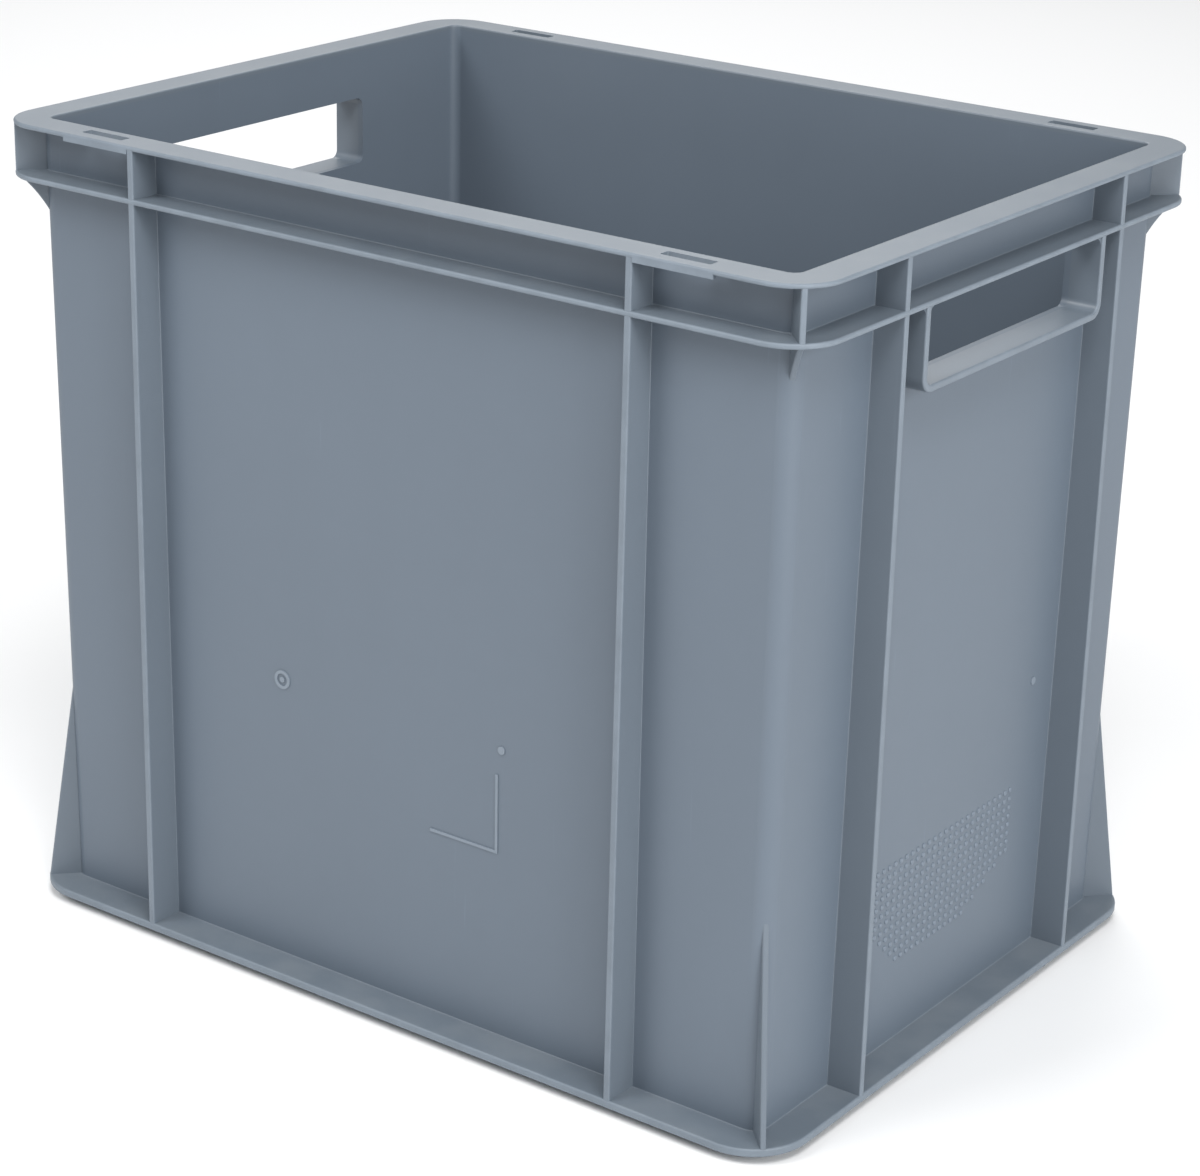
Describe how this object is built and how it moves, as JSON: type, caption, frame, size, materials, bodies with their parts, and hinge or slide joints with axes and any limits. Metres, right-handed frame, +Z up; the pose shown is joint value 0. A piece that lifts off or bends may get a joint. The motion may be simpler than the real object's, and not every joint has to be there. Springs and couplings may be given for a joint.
{
  "type": "stacking storage container",
  "caption": "Open-topped, straight-sided stacking container with ribbed walls, stacking flanges, lid slots and a hand-hole in each end.",
  "frame": {"origin": "centre of the footprint, on the ground under the stacking foot", "axes": "+X along the length towards the right-hand end, +Y across towards the rear, +Z up out of the open top"},
  "size_m": [0.4, 0.3, 0.352],
  "materials": {
    "moulded_polypropylene": "satin, lightly textured, blue-grey"
  },
  "bodies": {
    "root": {"base_flange": "moulded_polypropylene", "end_dot_mark": "moulded_polypropylene", "floor_panel": "moulded_polypropylene", "foot_ring": "moulded_polypropylene", "front_dot_mark": "moulded_polypropylene", "front_left_corner": "moulded_polypropylene", "front_left_fin": "moulded_polypropylene", "front_left_gusset": "moulded_polypropylene", "front_left_lid_lip": "moulded_polypropylene", "front_left_rim_web": "moulded_polypropylene", "front_rib_left": "moulded_polypropylene", "front_rib_right": "moulded_polypropylene", "front_right_corner": "moulded_polypropylene", "front_right_fin": "moulded_polypropylene", "front_right_gusset": "moulded_polypropylene", "front_right_lid_lip": "moulded_polypropylene", "front_right_rim_web": "moulded_polypropylene", "front_rim_rib_left": "moulded_polypropylene", "front_rim_rib_right": "moulded_polypropylene", "front_wall": "moulded_polypropylene", "gate_mark": "moulded_polypropylene", "label_corner_mark": "moulded_polypropylene", "left_handle_frame": "moulded_polypropylene", "left_rib_front": "moulded_polypropylene", "left_rib_rear": "moulded_polypropylene", "left_rim_rib_front": "moulded_polypropylene", "left_rim_rib_rear": "moulded_polypropylene", "left_wall": "moulded_polypropylene", "lower_flange": "moulded_polypropylene", "rear_left_corner": "moulded_polypropylene", "rear_left_fin": "moulded_polypropylene", "rear_left_gusset": "moulded_polypropylene", "rear_left_lid_lip": "moulded_polypropylene", "rear_left_rim_web": "moulded_polypropylene", "rear_rib_left": "moulded_polypropylene", "rear_rib_right": "moulded_polypropylene", "rear_right_corner": "moulded_polypropylene", "rear_right_fin": "moulded_polypropylene", "rear_right_gusset": "moulded_polypropylene", "rear_right_lid_lip": "moulded_polypropylene", "rear_right_rim_web": "moulded_polypropylene", "rear_rim_rib_left": "moulded_polypropylene", "rear_rim_rib_right": "moulded_polypropylene", "rear_wall": "moulded_polypropylene", "right_handle_frame": "moulded_polypropylene", "right_rib_front": "moulded_polypropylene", "right_rib_rear": "moulded_polypropylene", "right_rim_rib_front": "moulded_polypropylene", "right_rim_rib_rear": "moulded_polypropylene", "right_wall": "moulded_polypropylene", "ring_mark": "moulded_polypropylene", "ring_mark_centre": "moulded_polypropylene", "top_flange": "moulded_polypropylene"}
  },
  "joints": []
}
